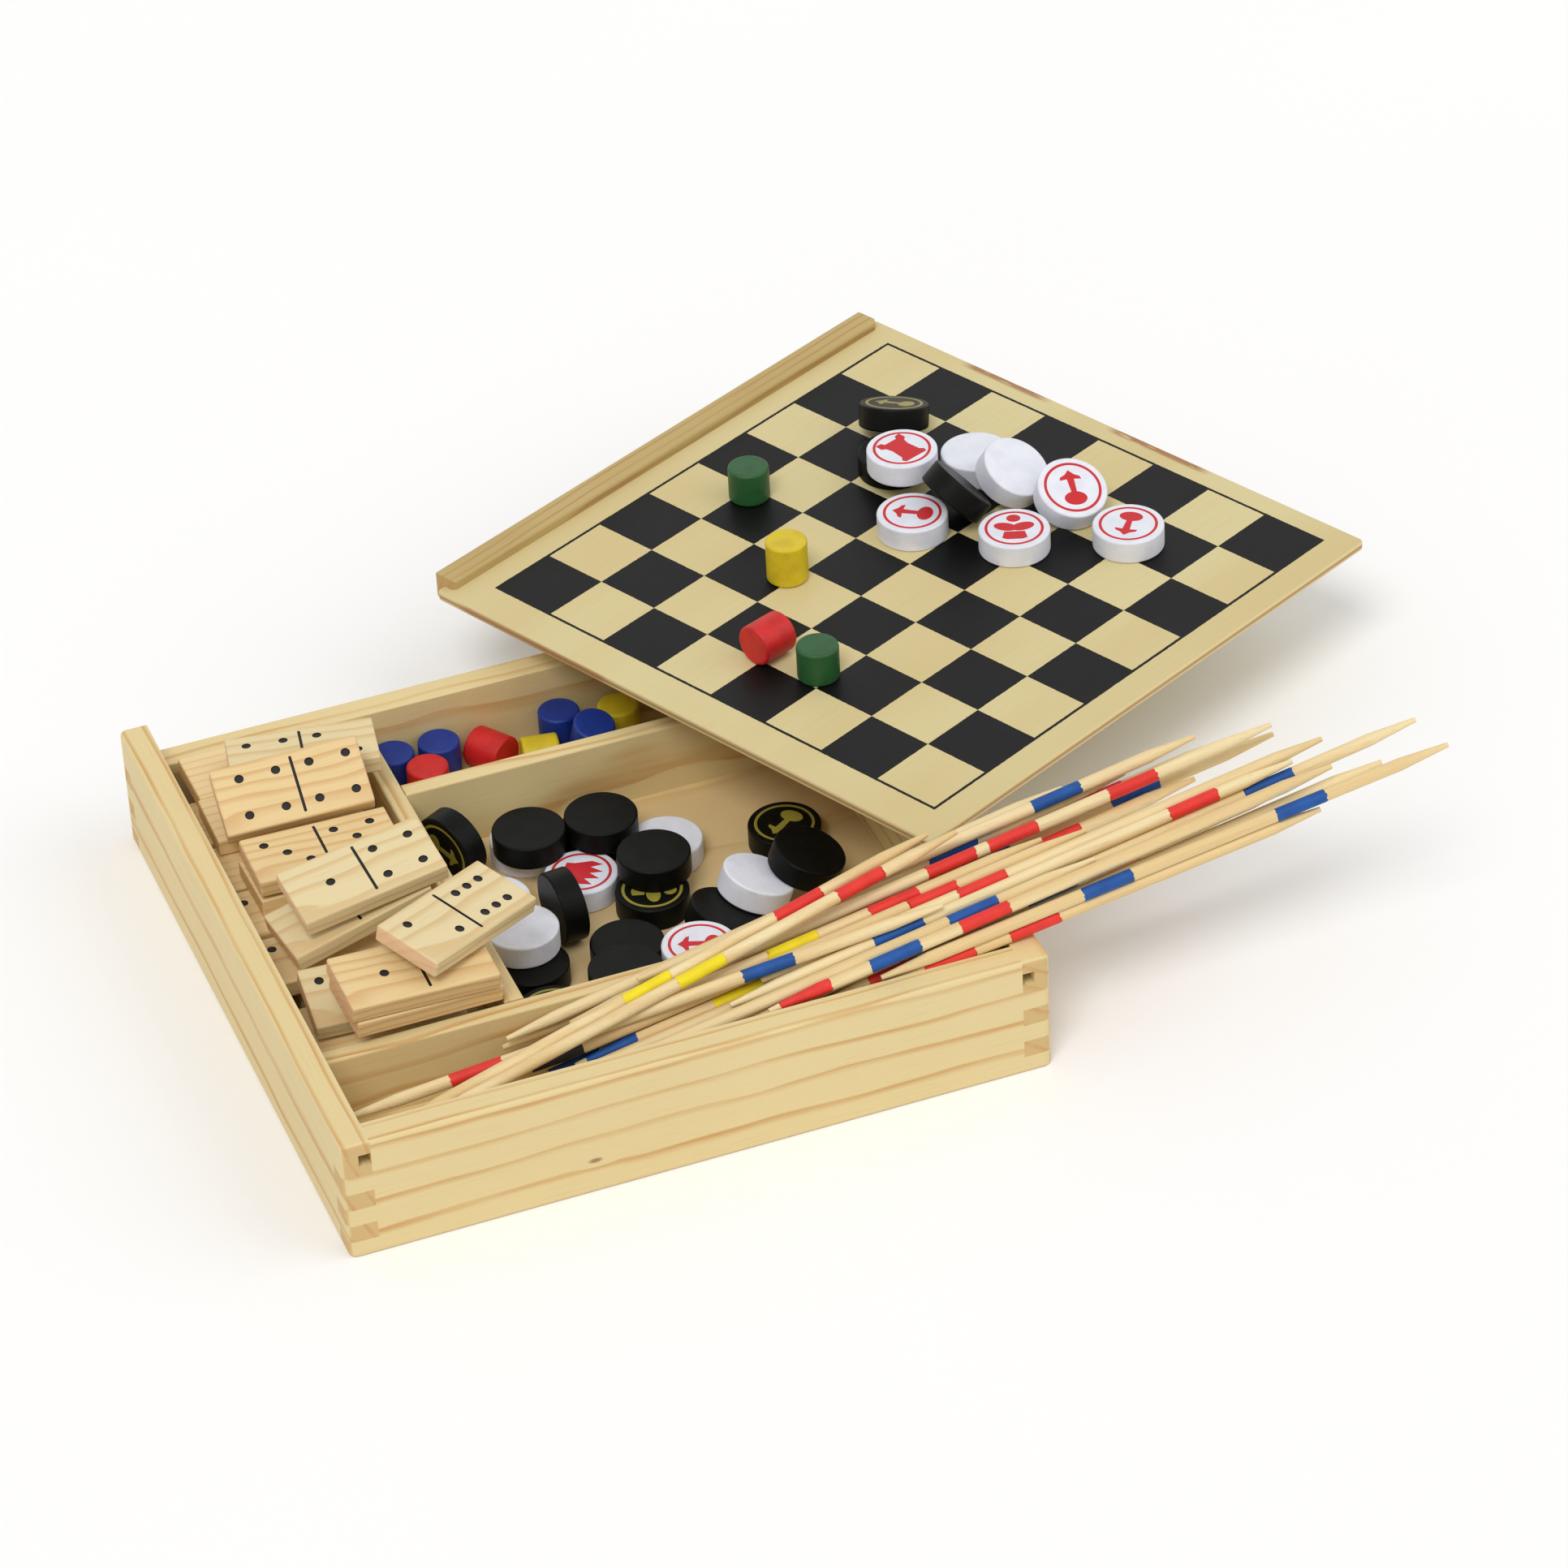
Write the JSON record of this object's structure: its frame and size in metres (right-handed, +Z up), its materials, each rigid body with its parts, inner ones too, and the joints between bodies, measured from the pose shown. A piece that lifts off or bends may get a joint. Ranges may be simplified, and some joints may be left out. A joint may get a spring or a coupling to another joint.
{
  "type": "games compendium box",
  "caption": "Open wooden games tray with finger-jointed walls and compartments, its chequered sliding lid set askew on the rim, and loose dominoes, discs, pegs and pick-up sticks.",
  "frame": {"origin": "under the middle of the tray, level with what it stands on", "axes": "+X along the tray's front wall to the right, +Y from the front wall to the low back wall, +Z up"},
  "size_m": [0.4032, 0.354, 0.0722],
  "materials": {
    "pine": "clear varnish, satin",
    "plywood": "clear varnish over printed squares, satin",
    "domino": "sanded, unvarnished",
    "black_paint": "satin paint",
    "white_paint": "satin paint",
    "green_paint": "satin paint",
    "yellow_paint": "satin paint",
    "red_paint": "satin paint",
    "blue_paint": "satin paint",
    "stick_wood": "raw wood with painted bands"
  },
  "bodies": {
    "tray": {"left_wall": "pine", "right_wall": "pine", "front_wall": "pine", "back_wall": "pine", "base_panel": "pine", "front_divider": "pine", "cross_divider": "pine", "back_divider": "pine"},
    "lid": {"lid_panel": "plywood", "lid_rail": "pine"},
    "lid_disc_black_lower": {"lid_disc_black_lower": "black_paint"},
    "lid_disc_black_ring": {"lid_disc_black_ring": "black_paint"},
    "lid_disc_white_upper": {"lid_disc_white_upper": "white_paint"},
    "lid_disc_white_left": {"lid_disc_white_left": "white_paint"},
    "lid_disc_black_leaning": {"lid_disc_black_leaning": "black_paint"},
    "lid_disc_white_back": {"lid_disc_white_back": "white_paint"},
    "lid_disc_white_middle": {"lid_disc_white_middle": "white_paint"},
    "lid_disc_white_leaning": {"lid_disc_white_leaning": "white_paint"},
    "lid_disc_white_near": {"lid_disc_white_near": "white_paint"},
    "lid_disc_white_right": {"lid_disc_white_right": "white_paint"},
    "lid_peg_green_back": {"lid_peg_green_back": "green_paint"},
    "lid_peg_yellow": {"lid_peg_yellow": "yellow_paint"},
    "lid_peg_green_front": {"lid_peg_green_front": "green_paint"},
    "lid_peg_red": {"lid_peg_red": "red_paint"},
    "dominoes_bottom": {"dominoes_lower_layers": "domino"},
    "dominoes_upper_layer": {"dominoes_middle_layers": "domino", "domino_front_lower": "domino", "domino_side": "domino"},
    "domino_back": {"domino_back": "domino"},
    "domino_leaning": {"domino_leaning": "domino"},
    "domino_middle": {"domino_middle": "domino"},
    "domino_under_raised": {"domino_under_raised": "domino"},
    "domino_raised": {"domino_raised": "domino"},
    "domino_front": {"domino_front": "domino"},
    "domino_across": {"domino_across": "domino"},
    "discs_bottom": {"discs_black_lower": "black_paint", "discs_white_lower": "white_paint"},
    "disc_black_on_edge_back": {"disc_black_on_edge_back": "black_paint"},
    "disc_black_on_edge_middle": {"disc_black_on_edge_middle": "black_paint"},
    "disc_black_back_left": {"disc_black_back_left": "black_paint"},
    "disc_black_back_right": {"disc_black_back_right": "black_paint"},
    "disc_black_stack_top": {"disc_black_stack_top": "black_paint"},
    "disc_black_front": {"disc_black_front": "black_paint"},
    "disc_white_front": {"disc_white_front": "white_paint"},
    "disc_white_on_black": {"disc_white_on_black": "white_paint"},
    "disc_white_leaning": {"disc_white_leaning": "white_paint"},
    "disc_black_leaning": {"disc_black_leaning": "black_paint"},
    "disc_black_under_lid": {"disc_black_under_lid": "black_paint"},
    "pegs_blue": {"pegs_blue": "blue_paint"},
    "pegs_red": {"pegs_red": "red_paint"},
    "peg_yellow": {"peg_yellow": "yellow_paint"},
    "pegs_blue_under_lid": {"pegs_blue_under_lid": "blue_paint"},
    "peg_yellow_under_lid": {"peg_yellow_under_lid": "yellow_paint"},
    "sticks_bottom_layer": {"sticks_bottom_layer": "stick_wood"},
    "sticks_second_layer": {"sticks_second_layer": "stick_wood"},
    "sticks_third_layer": {"sticks_third_layer": "stick_wood"},
    "stick_top_front": {"stick_top_front": "stick_wood"},
    "stick_top_back": {"stick_top_back": "stick_wood"},
    "stick_top_middle": {"stick_top_middle": "stick_wood"}
  },
  "joints": [
    {"name": "lid_lift", "type": "slide", "parent": "tray", "child": "lid", "axis": [0, 0, 1], "range_m": [0, 0.15]},
    {"name": "lid_disc_black_lower_lift", "type": "slide", "parent": "lid", "child": "lid_disc_black_lower", "axis": [0, 0, 1], "range_m": [0, 0.03]},
    {"name": "lid_disc_black_ring_lift", "type": "slide", "parent": "lid_disc_black_lower", "child": "lid_disc_black_ring", "axis": [0, 0, 1], "range_m": [0, 0.03]},
    {"name": "lid_disc_white_upper_lift", "type": "slide", "parent": "lid_disc_black_lower", "child": "lid_disc_white_upper", "axis": [0, 0, 1], "range_m": [0, 0.03]},
    {"name": "lid_disc_white_left_lift", "type": "slide", "parent": "lid", "child": "lid_disc_white_left", "axis": [0, 0, 1], "range_m": [0, 0.03]},
    {"name": "lid_disc_black_leaning_lift", "type": "slide", "parent": "lid_disc_white_left", "child": "lid_disc_black_leaning", "axis": [0, 0, 1], "range_m": [0, 0.03]},
    {"name": "lid_disc_white_back_lift", "type": "slide", "parent": "lid", "child": "lid_disc_white_back", "axis": [0, 0, 1], "range_m": [0, 0.03]},
    {"name": "lid_disc_white_middle_lift", "type": "slide", "parent": "lid_disc_white_back", "child": "lid_disc_white_middle", "axis": [0, 0, 1], "range_m": [0, 0.03]},
    {"name": "lid_disc_white_leaning_lift", "type": "slide", "parent": "lid_disc_white_middle", "child": "lid_disc_white_leaning", "axis": [0, 0, 1], "range_m": [0, 0.03]},
    {"name": "lid_disc_white_near_lift", "type": "slide", "parent": "lid", "child": "lid_disc_white_near", "axis": [0, 0, 1], "range_m": [0, 0.03]},
    {"name": "lid_disc_white_right_lift", "type": "slide", "parent": "lid", "child": "lid_disc_white_right", "axis": [0, 0, 1], "range_m": [0, 0.03]},
    {"name": "lid_peg_green_back_lift", "type": "slide", "parent": "lid", "child": "lid_peg_green_back", "axis": [0, 0, 1], "range_m": [0, 0.03]},
    {"name": "lid_peg_yellow_lift", "type": "slide", "parent": "lid", "child": "lid_peg_yellow", "axis": [0, 0, 1], "range_m": [0, 0.03]},
    {"name": "lid_peg_green_front_lift", "type": "slide", "parent": "lid", "child": "lid_peg_green_front", "axis": [0, 0, 1], "range_m": [0, 0.03]},
    {"name": "lid_peg_red_lift", "type": "slide", "parent": "lid", "child": "lid_peg_red", "axis": [0, 0, 1], "range_m": [0, 0.03]},
    {"name": "dominoes_bottom_lift", "type": "slide", "parent": "tray", "child": "dominoes_bottom", "axis": [0, 0, 1], "range_m": [0, 0.075]},
    {"name": "dominoes_upper_layer_lift", "type": "slide", "parent": "dominoes_bottom", "child": "dominoes_upper_layer", "axis": [0, 0, 1], "range_m": [0, 0.055]},
    {"name": "domino_back_lift", "type": "slide", "parent": "dominoes_upper_layer", "child": "domino_back", "axis": [0, 0, 1], "range_m": [0, 0.04]},
    {"name": "domino_leaning_lift", "type": "slide", "parent": "domino_back", "child": "domino_leaning", "axis": [0, 0, 1], "range_m": [0, 0.04]},
    {"name": "domino_middle_lift", "type": "slide", "parent": "dominoes_upper_layer", "child": "domino_middle", "axis": [0, 0, 1], "range_m": [0, 0.04]},
    {"name": "domino_under_raised_lift", "type": "slide", "parent": "dominoes_upper_layer", "child": "domino_under_raised", "axis": [0, 0, 1], "range_m": [0, 0.04]},
    {"name": "domino_raised_lift", "type": "slide", "parent": "domino_under_raised", "child": "domino_raised", "axis": [0, 0, 1], "range_m": [0, 0.04]},
    {"name": "domino_front_lift", "type": "slide", "parent": "dominoes_upper_layer", "child": "domino_front", "axis": [0, 0, 1], "range_m": [0, 0.04]},
    {"name": "domino_across_lift", "type": "slide", "parent": "domino_front", "child": "domino_across", "axis": [0, 0, 1], "range_m": [0, 0.04]},
    {"name": "discs_bottom_lift", "type": "slide", "parent": "tray", "child": "discs_bottom", "axis": [0, 0, 1], "range_m": [0, 0.016]},
    {"name": "disc_black_on_edge_back_lift", "type": "slide", "parent": "discs_bottom", "child": "disc_black_on_edge_back", "axis": [0, 0, 1], "range_m": [0, 0.07]},
    {"name": "disc_black_on_edge_middle_lift", "type": "slide", "parent": "discs_bottom", "child": "disc_black_on_edge_middle", "axis": [0, 0, 1], "range_m": [0, 0.07]},
    {"name": "disc_black_back_left_lift", "type": "slide", "parent": "discs_bottom", "child": "disc_black_back_left", "axis": [0, 0, 1], "range_m": [0, 0.06]},
    {"name": "disc_black_back_right_lift", "type": "slide", "parent": "discs_bottom", "child": "disc_black_back_right", "axis": [0, 0, 1], "range_m": [0, 0.06]},
    {"name": "disc_black_stack_top_lift", "type": "slide", "parent": "discs_bottom", "child": "disc_black_stack_top", "axis": [0, 0, 1], "range_m": [0, 0.06]},
    {"name": "disc_black_front_lift", "type": "slide", "parent": "discs_bottom", "child": "disc_black_front", "axis": [0, 0, 1], "range_m": [0, 0.06]},
    {"name": "disc_white_front_lift", "type": "slide", "parent": "discs_bottom", "child": "disc_white_front", "axis": [0, 0, 1], "range_m": [0, 0.06]},
    {"name": "disc_white_on_black_lift", "type": "slide", "parent": "discs_bottom", "child": "disc_white_on_black", "axis": [0, 0, 1], "range_m": [0, 0.016]},
    {"name": "disc_white_leaning_lift", "type": "slide", "parent": "discs_bottom", "child": "disc_white_leaning", "axis": [0, 0, 1], "range_m": [0, 0.016]},
    {"name": "disc_black_leaning_lift", "type": "slide", "parent": "disc_white_leaning", "child": "disc_black_leaning", "axis": [0, 0, 1], "range_m": [0, 0.016]},
    {"name": "disc_black_under_lid_lift", "type": "slide", "parent": "tray", "child": "disc_black_under_lid", "axis": [0, 0, 1], "range_m": [0, 0.028]},
    {"name": "pegs_blue_lift", "type": "slide", "parent": "tray", "child": "pegs_blue", "axis": [0, 0, 1], "range_m": [0, 0.07]},
    {"name": "pegs_red_lift", "type": "slide", "parent": "tray", "child": "pegs_red", "axis": [0, 0, 1], "range_m": [0, 0.07]},
    {"name": "peg_yellow_lift", "type": "slide", "parent": "tray", "child": "peg_yellow", "axis": [0, 0, 1], "range_m": [0, 0.07]},
    {"name": "pegs_blue_under_lid_lift", "type": "slide", "parent": "tray", "child": "pegs_blue_under_lid", "axis": [0, 0, 1], "range_m": [0, 0.014]},
    {"name": "peg_yellow_under_lid_lift", "type": "slide", "parent": "tray", "child": "peg_yellow_under_lid", "axis": [0, 0, 1], "range_m": [0, 0.02]},
    {"name": "sticks_bottom_layer_lift", "type": "slide", "parent": "tray", "child": "sticks_bottom_layer", "axis": [0, 0, 1], "range_m": [0, 0.06]},
    {"name": "sticks_second_layer_lift", "type": "slide", "parent": "sticks_bottom_layer", "child": "sticks_second_layer", "axis": [0, 0, 1], "range_m": [0, 0.03]},
    {"name": "sticks_third_layer_lift", "type": "slide", "parent": "sticks_second_layer", "child": "sticks_third_layer", "axis": [0, 0, 1], "range_m": [0, 0.03]},
    {"name": "stick_top_front_lift", "type": "slide", "parent": "sticks_third_layer", "child": "stick_top_front", "axis": [0, 0, 1], "range_m": [0, 0.03]},
    {"name": "stick_top_back_lift", "type": "slide", "parent": "stick_top_front", "child": "stick_top_back", "axis": [0, 0, 1], "range_m": [0, 0.03]},
    {"name": "stick_top_middle_lift", "type": "slide", "parent": "stick_top_back", "child": "stick_top_middle", "axis": [0, 0, 1], "range_m": [0, 0.03]}
  ]
}
